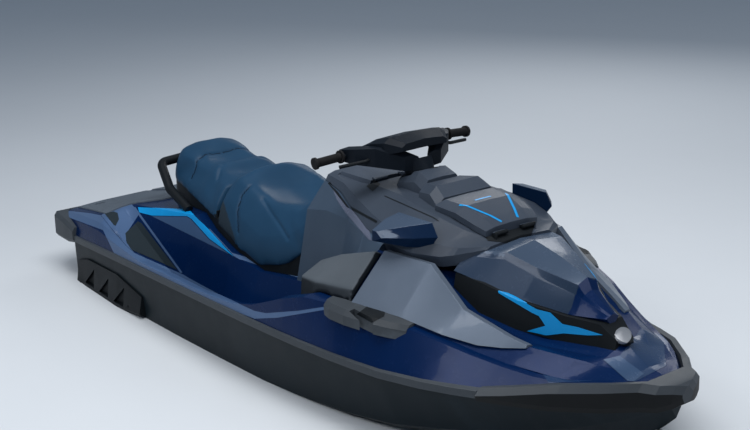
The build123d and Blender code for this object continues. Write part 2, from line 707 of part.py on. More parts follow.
well_plan = [(-740, 385), (-740, 490), (-450, 500), (-10, 500), (-10, 375), (-450, 385)]
with BuildPart() as footwell_mats:
    for side in (-1, 1):
        add(plan_prism([(x, side * y) for x, y in well_plan], 80, 160))
    add(deck_mid.part.moved(Location((0, 0, mat_thick))), mode=Mode.INTERSECT)
    add(deck_mid.part, mode=Mode.SUBTRACT)

# eyes for lines and towing
with BuildPart() as bow_eye:
    with BuildSketch(Plane.XZ.offset(7)):
        with Locations((1662, 128)):
            Circle(eye_r + 9)
        with Locations((1630, 128)):
            Rectangle(64, 22)
        with Locations((1662, 128)):
            Circle(eye_r, mode=Mode.SUBTRACT)
    extrude(amount=-14)
    add(hull.part, mode=Mode.SUBTRACT)

with BuildPart() as stern_eyes:
    for side in (-1, 1):
        with BuildSketch(Plane.XZ.offset(-side * 450 + 6)):
            with Locations((transom_x - 26, 60)):
                Circle(stern_eye_r + 8)
            with Locations((transom_x - 13, 60)):
                Rectangle(26, 18)
            with Locations((transom_x - 26, 60)):
                Circle(stern_eye_r, mode=Mode.SUBTRACT)
        extrude(amount=-12)


def gate_point(r, angle):
    """Point in side view at a distance from the gate's pivot, angle up from straight aft."""
    return (gate_x - r * cos(radians(angle)), pump_z + r * sin(radians(angle)))


# jet pump in the tunnel
with BuildPart() as pump:
    add(rod((pump_front, 0, pump_z), (pump_rear, 0, pump_z), pump_r + pump_wall))
    add(block(pump_front - 15, pump_front, -tunnel_half, tunnel_half, pump_z - 94, tunnel_top))
    add(rod((pump_front + 10, 0, pump_z), (pump_rear - 15, 0, pump_z), pump_r), mode=Mode.SUBTRACT)
    for outer, inner, mode in ((pump_r + pump_wall, tail_r, Mode.ADD), (pump_r, tail_r - 12, Mode.SUBTRACT)):
        with BuildSketch(Plane((pump_rear, 0, pump_z), z_dir=(-1, 0, 0))):
            Circle(outer)
        with BuildSketch(Plane((tail_x, 0, pump_z), z_dir=(-1, 0, 0))):
            Circle(inner)
        loft(mode=mode)
    add(rod((-1340, 0, pump_z), (-1470, 0, pump_z), 34))
    for k in range(5):
        turn = Location((0, 0, pump_z), (72 * k, 0, 0))
        add(block(-1460, -1350, -4, 4, 20, pump_r + 6).moved(turn))
    add(rod((-1330, 0, pump_z), (-1440, 0, pump_z), shaft_r + shaft_gap), mode=Mode.SUBTRACT)
    for up in (-1, 1):
        ear = sorted((pump_z + up * (nozzle_r + 5), pump_z + up * (nozzle_r + 17)))
        add(block(nozzle_x - 14, -1530, -13, 13, *ear))
    add(rod((nozzle_x, 0, pump_z - 120), (nozzle_x, 0, pump_z + 120), pin_r + shaft_gap), mode=Mode.SUBTRACT)
    add(rod((gate_x, -arm_y - 10, pump_z), (gate_x, arm_y + 10, pump_z), pin_r))
    add(rod((pump_rear, 0, pump_z), (tail_x - 5, 0, pump_z), tail_r - 12), mode=Mode.SUBTRACT)

# impeller and drive shaft
with BuildPart() as impeller:
    add(rod((-1430, 0, pump_z), (-545, 0, pump_z), shaft_r))
    add(rod((impeller_x - 55, 0, pump_z), (impeller_x + 55, 0, pump_z), 32))
    for k in range(blades):
        around = Location((impeller_x, 0, pump_z), (360 / blades * k, 0, 0))
        pitched = Location((0, 0, 0), (0, 0, blade_pitch))
        add(block(-45, 45, -3, 3, 25, pump_r).moved(pitched).moved(around))
    add(rod((-1440, 0, pump_z), (-540, 0, pump_z), pump_r - 5), mode=Mode.INTERSECT)

# ride plate and intake grate
with BuildPart() as ride_plate:
    add(block(-1495, -1000, -tunnel_half, tunnel_half, -172, -154))

with BuildPart() as intake_grate:
    add(block(-1000, -985, -tunnel_half, tunnel_half, -172, -158))
    for y in (-66, 0, 66):
        add(rod((-990, y, -165), (-470, y, -165), 7))
    add(hull.part, mode=Mode.SUBTRACT)

# steering nozzle on two upright pins
with BuildPart() as steering_nozzle:
    with BuildSketch(Plane((nozzle_x, 0, pump_z), z_dir=(-1, 0, 0))):
        Circle(nozzle_r)
    with BuildSketch(Plane((nozzle_x - nozzle_length, 0, pump_z), z_dir=(-1, 0, 0))):
        Circle(nozzle_r - 6)
    loft()
    with Locations((nozzle_x + 1, 0, pump_z)):
        Cylinder(pin_r + 6, 2 * nozzle_r)
    add(rod((nozzle_x, 0, pump_z - nozzle_r - 18), (nozzle_x, 0, pump_z + nozzle_r + 18), pin_r))
    add(rod((nozzle_x + 60, 0, pump_z), (nozzle_x - 150, 0, pump_z), nozzle_r - 10), mode=Mode.SUBTRACT)

# reverse gate: bucket on two arms that swings down behind the nozzle
with BuildPart() as reverse_gate:
    for side in (-1, 1):
        with BuildSketch(Plane.XZ.offset(-side * arm_y)):
            with BuildLine():
                arm = ((20, 150), (20, 250), (gate_r + 10, 22), (gate_r + 10, 66))
                Polyline(*[gate_point(r, angle) for r, angle in arm], close=True)
            make_face()
            with Locations((gate_x, pump_z)):
                Circle(22)
                Circle(pin_r + shaft_gap, mode=Mode.SUBTRACT)
        extrude(amount=-side * 8)
    with BuildSketch(Plane.XZ.offset(arm_y)):
        with BuildLine():
            ThreePointArc(gate_point(gate_r, 22), gate_point(gate_r, 44), gate_point(gate_r, 66))
            Line(gate_point(gate_r, 66), gate_point(gate_r + 10, 66))
            ThreePointArc(*[gate_point(gate_r + 10, angle) for angle in (66, 44, 22)])
            Line(gate_point(gate_r + 10, 22), gate_point(gate_r, 22))
        make_face()
    extrude(amount=-2 * arm_y)

# boarding step folded up under the platform
with BuildPart() as step_bracket:
    for y in (step_inner, step_outer):
        add(block(transom_x - 42, transom_x, -y - 22, -y - 14, step_z - 16, step_z + 16))
        add(rod((transom_x - 28, -y - 22, step_z), (transom_x - 28, -y + 12, step_z), pin_r))

with BuildPart() as boarding_step:
    hinge_x = transom_x - 28
    reach = hinge_x - step_reach
    for y in (step_inner, step_outer):
        add(block(reach, hinge_x, -y - 9, -y + 9, step_z - 7, step_z + 7))
        add(rod((hinge_x, -y - 12, step_z), (hinge_x, -y + 12, step_z), 15))
    add(block(reach, reach + 48, -step_outer + 5, -step_inner - 5, step_z - 7, step_z + 7))
    add(rod((hinge_x, -step_outer - 30, step_z), (hinge_x, -step_inner + 30, step_z), pin_r + shaft_gap),
        mode=Mode.SUBTRACT)

nodes = {
    "hull": hull.part, "deck_aft": deck_aft.part, "deck_mid": deck_mid.part, "deck_fore": deck_fore.part,
    "engine": engine.part, "rub_rails": rub_rails.part,
    "bow_bumper": bow_bumper.part, "stern_bumper": stern_bumper.part, "sponsons": sponsons.part,
    "foredeck": foredeck.part, "side_panels": side_panels.part, "hood": hood.part, "grille": grille.part,
    "tank_cowl": tank_cowl.part, "console": console.part, "storage_lid": storage_lid.part,
    "gauge_pod": gauge_pod.part, "mirrors": mirrors.part, "mirror_glass": mirror_glass.part,
    "neck": neck.part, "handlebar": handlebar.part, "bar_pad": bar_pad.part, "grips": grips.part,
    "levers": levers.part, "glovebox_lid": glovebox_lid.part, "knee_pods": knee_pods.part,
    "cleats": cleats.part, "seat_base": seat_base.part, "seat_front": seat_front.part,
    "seat_rear": seat_rear.part,
    "grab_handle": grab_handle.part, "platform_mats": platform_mats.part,
    "footwell_mats": footwell_mats.part, "bow_eye": bow_eye.part, "stern_eyes": stern_eyes.part,
    "pump": pump.part, "impeller": impeller.part, "ride_plate": ride_plate.part,
    "intake_grate": intake_grate.part, "steering_nozzle": steering_nozzle.part,
    "reverse_gate": reverse_gate.part, "boarding_step": boarding_step.part, "step_bracket": step_bracket.part,
}
for name, solid in nodes.items():
    solid.label = name
    export_step(solid, f"parts/{name}.step")
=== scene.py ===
from math import cos, pi, radians, sin

import bmesh
import bpy
import numpy as np
from mathutils import Matrix, Vector
from mathutils.bvhtree import BVHTree


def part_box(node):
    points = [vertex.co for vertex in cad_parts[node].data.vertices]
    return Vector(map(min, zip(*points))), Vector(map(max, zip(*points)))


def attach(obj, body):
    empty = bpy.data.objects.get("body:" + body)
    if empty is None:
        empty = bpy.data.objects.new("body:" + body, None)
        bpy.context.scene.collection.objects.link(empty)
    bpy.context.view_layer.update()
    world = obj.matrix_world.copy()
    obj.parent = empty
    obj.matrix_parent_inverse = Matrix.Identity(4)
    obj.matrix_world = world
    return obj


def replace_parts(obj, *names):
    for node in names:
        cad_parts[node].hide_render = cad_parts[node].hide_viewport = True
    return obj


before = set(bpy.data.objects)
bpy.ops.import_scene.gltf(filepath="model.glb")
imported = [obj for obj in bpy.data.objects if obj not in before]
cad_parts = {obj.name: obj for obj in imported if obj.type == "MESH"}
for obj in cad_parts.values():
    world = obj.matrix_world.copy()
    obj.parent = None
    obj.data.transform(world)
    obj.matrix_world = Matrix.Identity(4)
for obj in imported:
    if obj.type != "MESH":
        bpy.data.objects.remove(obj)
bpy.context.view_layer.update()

# Camera and studio light. The lens and its place were fitted to the photograph, whose frame
# is 750 by 430 pixels. Large soft boxes light the craft from above, both sides and behind.
scene = bpy.context.scene
scene.view_settings.view_transform = "Standard"
photo_wide, photo_high = 750, 430
sensor_wide, lens_length = 36, 66.13
yaw, pitch, roll = radians(141.07), radians(16.58), radians(-1.18)
eye = Vector((4.278, -3.335, 2.139))
forward = Vector((cos(pitch) * cos(yaw), cos(pitch) * sin(yaw), -sin(pitch)))
level = forward.cross(Vector((0, 0, 1))).normalized()
over = level.cross(forward)
right = level * cos(roll) + over * sin(roll)
up = over * cos(roll) - level * sin(roll)
lens = bpy.data.cameras.new("camera")
lens.sensor_width, lens.lens = sensor_wide, lens_length
camera = bpy.data.objects.new("camera", lens)
scene.collection.objects.link(camera)
camera.matrix_world = Matrix.Translation(eye) @ Matrix((right, up, -forward)).transposed().to_4x4()
scene.camera = camera

sky = bpy.data.worlds.new("studio")
scene.world = sky
sky.use_nodes = True
sky.node_tree.nodes["Background"].inputs["Color"].default_value = (0.62, 0.78, 1.0, 1)
sky.node_tree.nodes["Background"].inputs["Strength"].default_value = 0.26
softboxes = [
    # name, place, aimed at, width, height, watts
    ("key", (1.2, -5.4, 4.8), (0.2, 0, 0.3), 3.6, 2.0, 150),
    ("over", (0.6, -0.6, 5.4), (0.2, 0, 0.3), 5.0, 2.6, 250),
    ("fill", (5.5, 1.5, 2.6), (1, 0, 0.3), 2.0, 2.0, 50),
    ("back", (-3.2, 5.2, 3.4), (-0.5, 0, 0.4), 3.0, 1.6, 60),
]
for name, place, aim, width, height, watts in softboxes:
    lamp = bpy.data.lights.new(name, "AREA")
    lamp.shape, lamp.size, lamp.size_y, lamp.energy = "RECTANGLE", width, height, watts
    box = bpy.data.objects.new(name, lamp)
    scene.collection.objects.link(box)
    box.location = place
    box.rotation_euler = (Vector(aim) - Vector(place)).to_track_quat("-Z", "Y").to_euler()


# Floor: a plain pale studio floor on the waterline, which cuts the hull where the craft floats.
# It is the first surface to need a finish, so the shader class is made here.
class Socket:
    """One output of a shader node, with arithmetic that adds Math nodes."""

    def __init__(self, tree, plug=None):
        self.tree, self.plug = tree, plug

    def make(self, kind, settings=None, inputs=None, out=0):
        node = self.tree.nodes.new("ShaderNode" + kind)
        for key, value in (settings or {}).items():
            setattr(node, key, value)
        for key, value in (inputs or {}).items():
            if isinstance(value, Socket):
                self.tree.links.new(value.plug, node.inputs[key])
            else:
                node.inputs[key].default_value = value
        return Socket(self.tree, node.outputs[out])

    def maths(self, operation, *values):
        return self.make("Math", {"operation": operation}, dict(enumerate(values)))

    def __add__(self, other): return self.maths("ADD", self, other)
    def __radd__(self, other): return self.maths("ADD", other, self)
    def __sub__(self, other): return self.maths("SUBTRACT", self, other)
    def __rsub__(self, other): return self.maths("SUBTRACT", other, self)
    def __mul__(self, other): return self.maths("MULTIPLY", self, other)
    def __rmul__(self, other): return self.maths("MULTIPLY", other, self)

    def into(self, socket):
        self.tree.links.new(self.plug, socket)


def blank(name, metal=0.0, coat=0.0, specular=0.3):
    """A new material, its shader and a socket to start from."""
    mat = bpy.data.materials.new(name)
    mat.use_nodes = True
    shader = mat.node_tree.nodes["Principled BSDF"]
    shader.inputs["Metallic"].default_value = metal
    shader.inputs["Coat Weight"].default_value = coat
    shader.inputs["Coat Roughness"].default_value = 0.05
    shader.inputs["Specular IOR Level"].default_value = specular
    return mat, shader, Socket(mat.node_tree)


def tint(colour, share):
    """A colour made paler or darker, as a socket takes it."""
    return tuple(min(1.0, c * share) for c in colour) + (1,)


def noise(start, where, scale, detail, rough=0.5):
    """A cloudy value from 0 to 1."""
    return start.make("TexNoise", {}, {"Vector": where, "Scale": scale, "Detail": detail,
                                       "Roughness": rough})


mix_first, mix_second, mix_result = 6, 7, 2        # the Mix node's colour sockets, by their place


def between(start, share, first, second):
    """A colour between two others."""
    return start.make("Mix", {"data_type": "RGBA"}, {"Factor": share, mix_first: first, mix_second: second},
                      mix_result)


def mottled(start, where, colour, scale, spread):
    """A colour that clouds between a darker and a paler tone."""
    cloud = noise(start, where, scale, 5.0, 0.6)
    return between(start, cloud, tint(colour, 1 - spread), tint(colour, 1 + spread))


pale_floor, shader, start = blank("pale_floor")
where = start.make("TexCoord", out="Object")
mottled(start, where, (0.62, 0.65, 0.68), 0.6, 0.03).into(shader.inputs["Base Color"])
(0.55 + noise(start, where, 9.0, 6.0) * 0.2).into(shader.inputs["Roughness"])
floor_reach = 60
floor_mesh = bpy.data.meshes.new("floor")
floor_mesh.from_pydata([(-floor_reach, -floor_reach, 0), (floor_reach, -floor_reach, 0),
                        (floor_reach, floor_reach, 0), (-floor_reach, floor_reach, 0)], [], [(0, 1, 2, 3)])
floor = bpy.data.objects.new("floor", floor_mesh)
scene.collection.objects.link(floor)
floor_mesh.materials.append(pale_floor)


# Hull: one charcoal moulding with a V bottom and hard chines, gel-coated, satin rather than bright.
# Its edges are rounded, as the mould leaves them, and scuffed pale where it meets docks and sand.
worn_from, worn_to, worn_pale = 0.52, 0.62, 3.5    # edges that start to wear, are worn, and their paleness


def plastic(name, colour, rough, coat=0.0, grain=0.0, pitch=900, wear=0.0, spread=0.18, specular=0.14):
    """A moulded finish: clouded colour, uneven gloss, a fine pitted grain and paler worn edges."""
    mat, shader, start = blank(name, coat=coat, specular=specular)
    where = start.make("TexCoord", out="Object")
    shade = mottled(start, where, colour, 4.0, spread)
    if wear:
        edge = start.make("NewGeometry", out="Pointiness")
        edge = start.make("MapRange", {}, {"Value": edge, "From Min": worn_from, "From Max": worn_to,
                                           "To Min": 0.0, "To Max": wear})
        rub = noise(start, where, 60.0, 4.0)
        shade = between(start, edge * rub, shade, tint(colour, worn_pale))
    shade.into(shader.inputs["Base Color"])
    haze = noise(start, where, 14.0, 6.0)
    scratch = noise(start, where, 160.0, 2.0)
    (rough + (haze - 0.5) * 0.14 + (scratch - 0.5) * 0.06).into(shader.inputs["Roughness"])
    if grain:
        pits = start.make("TexVoronoi", {}, {"Vector": where, "Scale": pitch})
        bump = start.make("Bump", {}, {"Strength": 0.5, "Distance": grain, "Height": pits})
        bump.into(shader.inputs["Normal"])
    return mat


cut_slack, weld, sliver, flat_angle = 2e-4, 3e-5, 2e-4, radians(0.6)


def solid_of(nodes, cuts=()):
    """The CAD nodes' own faces in one mesh, welded, without the faces that lie on a cut across X."""
    bm = bmesh.new()
    for node in nodes:
        bm.from_mesh(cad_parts[node].data)
    inner = [f for f in bm.faces if any(all(abs(v.co.x - x) < cut_slack for v in f.verts) for x in cuts)]
    bmesh.ops.delete(bm, geom=inner, context="FACES")
    bmesh.ops.remove_doubles(bm, verts=bm.verts, dist=weld)
    bmesh.ops.dissolve_degenerate(bm, dist=sliver, edges=bm.edges)
    bmesh.ops.dissolve_limit(bm, angle_limit=flat_angle, verts=bm.verts, edges=bm.edges)
    return bm


def to_piece(bm, piece, body, mats, smooth=32):
    """A piece from a finished mesh, smooth but for its hard edges, riding on a body."""
    for face in bm.faces:
        face.smooth = True
    for e in bm.edges:
        e.smooth = len(e.link_faces) == 2 and e.calc_face_angle(0) < radians(smooth)
    mesh = bpy.data.meshes.new(piece)
    bm.to_mesh(mesh)
    bm.free()
    obj = bpy.data.objects.new(piece, mesh)
    scene.collection.objects.link(obj)
    for mat in mats:
        mesh.materials.append(mat)
    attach(obj, body)
    return obj


def moulded(piece, nodes, body, mats, edge=0.004, sharp=11, segments=2, cuts=(), zone=None, swell=None):
    """The CAD nodes' shape with its edges rounded and its facets left flat between them; zone gives
    a face its material by place, and swell moves its sides out or in, an amount for each axis."""
    bm = solid_of(nodes, cuts)
    if swell:
        bm.normal_update()
        for v, push in [(v, v.normal * Vector(swell)) for v in bm.verts]:
            v.co += push
    creases = [e for e in bm.edges if e.is_manifold and e.calc_face_angle(0) > radians(sharp)]
    bmesh.ops.bevel(bm, geom=creases, offset=edge, segments=segments, profile=0.6, affect="EDGES",
                    clamp_overlap=True)
    if zone:
        for face in bm.faces:
            face.material_index = zone(face.calc_center_median(), face.normal)
    obj = to_piece(bm, piece, body, mats)
    flat = obj.modifiers.new("flat_facets", "WEIGHTED_NORMAL")
    flat.keep_sharp = True
    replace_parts(obj, *nodes)
    return obj


charcoal = plastic("hull_charcoal", (0.007, 0.012, 0.016), 0.46, coat=0.02, grain=0.0001, wear=0.2,
                   specular=0.10)
moulded("hull_shell", ["hull"], "craft", [charcoal], edge=0.006, sharp=24)


# Jet drive and metal fittings: cast alloy pump, nozzle and grate, stainless shaft, eyes and step.
# The castings keep a sandy grain, and the stainless pieces show the brush along their length.
def metal(name, colour, rough, sand=0.0, brush=(1, 1, 1)):
    """Bare metal: sandy where it is cast, drawn out along an axis where it is brushed."""
    mat, shader, start = blank(name, metal=1.0)
    where = start.make("TexCoord", out="Object")
    mottled(start, where, colour, 12.0, 0.12).into(shader.inputs["Base Color"])
    drawn = start.make("Mapping", {}, {"Vector": where, "Scale": brush})
    streak = noise(start, drawn, 220.0, 3.0)
    (rough + (streak - 0.5) * 0.22).into(shader.inputs["Roughness"])
    if sand:
        bump = start.make("Bump", {}, {"Strength": 0.4, "Distance": sand, "Height": streak})
        bump.into(shader.inputs["Normal"])
    return mat


cast = metal("pump_alloy", (0.42, 0.43, 0.45), 0.45, sand=0.0006)
steel = metal("steel", (0.55, 0.55, 0.56), 0.26, brush=(0.04, 1, 1))
block_alloy = metal("engine_alloy", (0.30, 0.31, 0.33), 0.5, sand=0.001)
fittings = [("pump", "craft", cast), ("intake_grate", "craft", cast), ("steering_nozzle", "nozzle", cast),
            ("impeller", "rotor", steel), ("bow_eye", "craft", steel), ("stern_eyes", "craft", steel),
            ("step_bracket", "craft", steel), ("boarding_step", "step", steel)]
for node, body, mat in fittings:
    moulded(node + "_cast", [node], body, [mat], edge=0.0015, sharp=30, segments=1)
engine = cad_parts["engine"]
engine.data.materials.clear()
engine.data.materials.append(block_alloy)


# Deck: the gloss upper moulding, sprayed navy. A pale silver-blue sheet runs along the gunwales as a painted
# reflection of the sky on their chamfer, and rims the swim platform. Three lengths are bonded, so their joints
# don't show.
def paint(name, colour, rough=0.26, metal=0.12, coat=0.14, flake=0.10, specular=0.14):
    """Sprayed gloss: metallic flake under a clear coat with a slight ripple and dried water marks."""
    mat, shader, start = blank(name, metal=metal, specular=specular)
    where = start.make("TexCoord", out="Object")
    cloud = mottled(start, where, colour, 2.2, 0.12)
    speck = start.make("TexVoronoi", {}, {"Vector": where, "Scale": 1400.0}, 1)
    glint = start.make("SeparateColor", {}, {"Color": speck}) * flake
    between(start, glint, cloud, tint(colour, 2.2)).into(shader.inputs["Base Color"])
    marks = noise(start, where, 24.0, 8.0, 0.7)
    (rough + (marks - 0.5) * 0.16).into(shader.inputs["Roughness"])
    (coat + (marks - 0.5) * 0.12).into(shader.inputs["Coat Weight"])
    ripple = noise(start, where, 130.0, 1.0)
    bump = start.make("Bump", {}, {"Strength": 0.12, "Distance": 0.0004, "Height": ripple})
    bump.into(shader.inputs["Normal"])
    return mat


navy = paint("navy_gloss", (0.0010, 0.0115, 0.054), coat=0.08, flake=0.15, specular=0.08)
silver_blue_and_sheen = paint("silver_blue_and_sheen_gloss", (0.060, 0.110, 0.215), rough=0.36, metal=0.15, flake=0.06)
deck_cuts = (-0.76, 0.0)                 # where the three lengths of the deck meet
deck = moulded("deck_shell", ["deck_aft", "deck_mid", "deck_fore"], "craft", [navy], edge=0.006, sharp=14,
               cuts=deck_cuts)

# Inlaid colours on the deck: vinyl sheet cut to shape and pressed on, here cut out of the deck's own
# surface by the outline seen in the photograph, given in its pixels, and mirrored to port.
photo_focus = lens_length / sensor_wide * photo_wide


def photo_ray(u, v):
    """The way from the lens through a pixel of the photograph."""
    return forward * photo_focus + right * (u - photo_wide / 2) - up * (v - photo_high / 2)


def in_photo(p):
    """The pixel at which a point is seen."""
    d = p - eye
    depth = d.dot(forward)
    return (photo_wide / 2 + photo_focus * d.dot(right) / depth,
            photo_high / 2 - photo_focus * d.dot(up) / depth)


def in_plan(p):
    """A point as seen from straight above."""
    return (p.x, p.y)


def starboard(c):
    return c.y < 0


def anywhere(c):
    return True


def inside(point, outline):
    """Whether a point lies in a closed outline."""
    x, y = point
    odd = False
    for (x0, y0), (x1, y1) in zip(outline, outline[1:] + outline[:1]):
        if (y0 > y) != (y1 > y) and x < x0 + (x1 - x0) * (y - y0) / (y1 - y0):
            odd = not odd
    return odd


def cut_from(base, outline, flat, near):
    """The part of a piece's surface inside an outline in the photograph, or in plan."""
    bm = bmesh.new()
    bm.from_mesh(base.data)
    seen = []
    for f in bm.faces:
        c = f.calc_center_median()
        facing = f.normal.dot(eye - c) > 0 if flat is in_photo else f.normal.z > 0.1
        seen.append(facing and near(c))
    bmesh.ops.delete(bm, geom=[f for f, keep in zip(bm.faces, seen) if not keep], context="FACES")
    for a, b in zip(outline, outline[1:] + outline[:1]):
        if flat is in_photo:
            spot, across = eye, photo_ray(*a).cross(photo_ray(*b)).normalized()
        else:
            spot = Vector((a[0], a[1], 0))
            across = Vector((b[1] - a[1], a[0] - b[0], 0)).normalized()
        bmesh.ops.bisect_plane(bm, geom=bm.verts[:] + bm.edges[:] + bm.faces[:], dist=1e-7,
                               plane_co=spot, plane_no=across)
    outside = [f for f in bm.faces if not inside(flat(f.calc_center_median()), outline)]
    bmesh.ops.delete(bm, geom=outside, context="FACES")
    return bm


def inlay(piece, base, outlines, mat, body="craft", flat=in_photo, lift=0.0008,
          pair=True, near=starboard):
    """A thin sheet lying on a piece's surface, with its mirror image where the craft has a pair."""
    whole = bmesh.new()
    for outline in outlines:
        bm = cut_from(base, outline, flat, near)
        bm.normal_update()
        for v, push in [(v, v.normal * lift) for v in bm.verts]:
            v.co += push
        part = bpy.data.meshes.new("part")
        bm.to_mesh(part)
        bm.free()
        whole.from_mesh(part)
        if pair:
            part.transform(Matrix.Scale(-1, 4, (0, 1, 0)))
            part.flip_normals()
            whole.from_mesh(part)
        bpy.data.meshes.remove(part)
    bmesh.ops.remove_doubles(whole, verts=whole.verts, dist=1e-5)
    for f in whole.faces:
        f.material_index = 0
    obj = to_piece(whole, piece, body, [mat])
    return obj


def strip(path, width):
    """The outline of a line of even width along a path."""
    left, back = [], []
    for k, (x, y) in enumerate(path):
        (x0, y0), (x1, y1) = path[max(k - 1, 0)], path[min(k + 1, len(path) - 1)]
        run = ((x1 - x0) ** 2 + (y1 - y0) ** 2) ** 0.5
        ox, oy = (y0 - y1) / run * width / 2, (x1 - x0) / run * width / 2
        left.append((x + ox, y + oy))
        back.append((x - ox, y - oy))
    return left + back[::-1]


bright_blue = paint("bright_blue_vinyl", (0.003, 0.235, 0.56), rough=0.35, metal=0.0, coat=0.1, flake=0.05)
grey_blue = paint("grey_blue_vinyl", (0.036, 0.075, 0.155), rough=0.35, metal=0.1, coat=0.1)
# The gunwale outline is a painted highlight: the sky's reflection in the chamfer along the gunwales, laid on as
# a pale sheet.
gunwale_sheen = [(65.6, 210.6), (90.4, 213.3), (100.9, 215.4), (112.4, 230.1), (126.1, 245.9), (134.5, 253.2),
                (160, 264.5), (182.8, 274.2), (190, 278.6), (219.9, 294.7), (254.4, 310.8), (265.9, 313.1),
                (298.1, 310.8), (328, 306.2), (328, 309.2), (277.4, 317.7), (254.4, 318.7), (224.5, 307),
                (190, 291), (160, 277), (130.3, 262), (114.5, 254), (103, 230.1), (66.2, 216.5)]
platform_rim = [(101.2, 215.2), (104, 213.8), (126, 204.5), (131, 203.5), (139.6, 213.5), (128, 231),
                (126, 241), (134.2, 252.8), (126.4, 245.7), (112.7, 229.9)]
inlay("gunwale_sheen_and_platform_rim", deck, [gunwale_sheen, platform_rim], silver_blue_and_sheen, lift=0.0006)
pedestal_stripe = [(138, 207.3), (188.4, 209.2), (208.2, 229), (233.7, 256.4), (209.4, 238.6), (191.6, 218.8),
                   (187.1, 216.2), (152, 215.6), (139.3, 212.4)]
pedestal_wedge = [(152, 216.2), (187.1, 216.8), (191.2, 219.5), (209, 239.2), (229.8, 254.4), (172.4, 226.2)]
# The ledge outline is a painted reflection: the sky seen in the chamfer along the pedestal's top edge, under the
# seat.
pedestal_ledge_sheen = [(208.8, 229), (234.2, 256.4), (239, 259), (277, 271.5), (299, 278), (304, 266.5),
                  (262, 262), (232, 253), (210, 229)]
well_line = [(132.9, 207.3), (135.5, 207.3), (182.7, 272.4), (180.7, 273)]
inlay("pedestal_stripes", deck, [pedestal_stripe], bright_blue)
inlay("pedestal_wedges", deck, [pedestal_wedge], grey_blue)
inlay("pedestal_ledge_sheen", deck, [pedestal_ledge_sheen], silver_blue_and_sheen)
inlay("well_lines", deck, [well_line], silver_blue_and_sheen, lift=0.0016)
tread = plastic("tread_black", (0.014, 0.023, 0.030), 0.75, grain=0.0006, pitch=260)
stern_tread = [(104.8, 213.7), (113.8, 211.8), (117.6, 213.1), (118.9, 219.4), (115.7, 225.8), (113.8, 225.2)]
quarter_tread = [(125.3, 233.5), (138, 221.4), (141.8, 223.3), (177.6, 269.8), (131.6, 250.1), (126.5, 242.4)]
inlay("side_treads", deck, [stern_tread, quarter_tread], tread, lift=0.002)

# Rub rails, bumpers and gunwale cleats: grey mouldings screwed along the joint of hull and deck.
# They take the knocks, so their edges are rubbed pale.
trim = plastic("trim_grey", (0.040, 0.047, 0.055), 0.48, coat=0.04, grain=0.0002, pitch=700, wear=0.5)
bumper_low = plastic("trim_black", (0.006, 0.007, 0.008), 0.55, grain=0.0002, pitch=700, wear=0.3)
moulded("rub_rails_moulding", ["rub_rails"], "craft", [trim])
moulded("stern_bumper_moulding", ["stern_bumper"], "craft", [trim])
cleats = moulded("cleats_moulding", ["cleats"], "craft", [trim])
moulded("bow_bumper_moulding", ["bow_bumper"], "craft", [trim, bumper_low],
        zone=lambda place, normal: 1 if normal.z < 0.2 and place.z < 0.30 else 0)
black = plastic("black_plastic", (0.006, 0.008, 0.010), 0.52, grain=0.0003, pitch=800, wear=0.3)
cleat_slot = [(356.7, 314.1), (367.1, 306.6), (385.5, 309.5), (384.3, 316.4), (371.7, 322.7)]
inlay("cleat_slots", cleats, [cleat_slot], black)

# Black mouldings: sponsons, ride plate, reverse gate, grille, knee pods, seat base and grab handle,
# all grained polypropylene straight from the tool.
sponsons = moulded("sponsons_moulding", ["sponsons"], "craft", [black])
moulded("ride_plate_moulding", ["ride_plate"], "craft", [black])
moulded("reverse_gate_moulding", ["reverse_gate"], "gate", [black], edge=0.002)
moulded("seat_base_moulding", ["seat_base"], "craft", [black], swell=(0, -0.012, 0))
moulded("grab_handle_moulding", ["grab_handle"], "craft", [black], edge=0.002, sharp=30,
        swell=(0.006, 0.006, 0.006))


def settled(obj):
    """Takes what an object's modifiers make of it as its own mesh."""
    done = bpy.data.meshes.new_from_object(obj.evaluated_get(bpy.context.evaluated_depsgraph_get()))
    obj.modifiers.clear()
    obj.data = done


def softened(piece, nodes, body, mats, voxel, rounds):
    """The CAD nodes' shape as an even skin with all its edges rounded over."""
    obj = to_piece(solid_of(nodes), piece, body, mats)
    even = obj.modifiers.new("even", "REMESH")
    even.mode, even.voxel_size = "VOXEL", voxel
    ease = obj.modifiers.new("ease", "SMOOTH")
    ease.factor, ease.iterations = 0.5, rounds
    settled(obj)
    for face in obj.data.polygons:
        face.use_smooth = True
        face.material_index = 0
    return obj


pod_voxel, pod_rounds = 0.005, 16
# The knee pods carry painted light: paler on faces that look up, where light from above falls, and darker on
# their shaded sides.
pod_shaded_side, pod_lit_top = (0.008, 0.011, 0.015), (0.075, 0.088, 0.102)
lit_pod, shader, start = blank("pod_painted_light", specular=0.14)
facing_up = start.make("SeparateXYZ", {}, {"Vector": start.make("NewGeometry", out="Normal")}, 2)
share = start.make("MapRange", {}, {"Value": facing_up, "From Min": 0.15, "From Max": 0.42})
where = start.make("TexCoord", out="Object")
painted_side_shade, painted_top_light = (mottled(start, where, colour, 4.0, 0.18) for colour in (pod_shaded_side, pod_lit_top))
between(start, share, painted_side_shade, painted_top_light).into(shader.inputs["Base Color"])
(0.45 + noise(start, where, 20.0, 6.0) * 0.14).into(shader.inputs["Roughness"])
pits = start.make("TexVoronoi", {}, {"Vector": where, "Scale": 800.0})
start.make("Bump", {}, {"Strength": 0.5, "Distance": 0.0003, "Height": pits}).into(shader.inputs["Normal"])
pods = softened("knee_pods_moulding", ["knee_pods"], "craft", [lit_pod], pod_voxel, pod_rounds)
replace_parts(pods, "knee_pods")
vent_x, vent_pitch, vent_wide, vent_count = 0.372, 0.026, 0.011, 3
vent_near, vent_far = -0.300, -0.366
vents = [[(x, vent_near), (x + vent_wide, vent_near), (x + vent_wide, vent_far), (x, vent_far)]
         for x in (vent_x + k * vent_pitch for k in range(vent_count))]
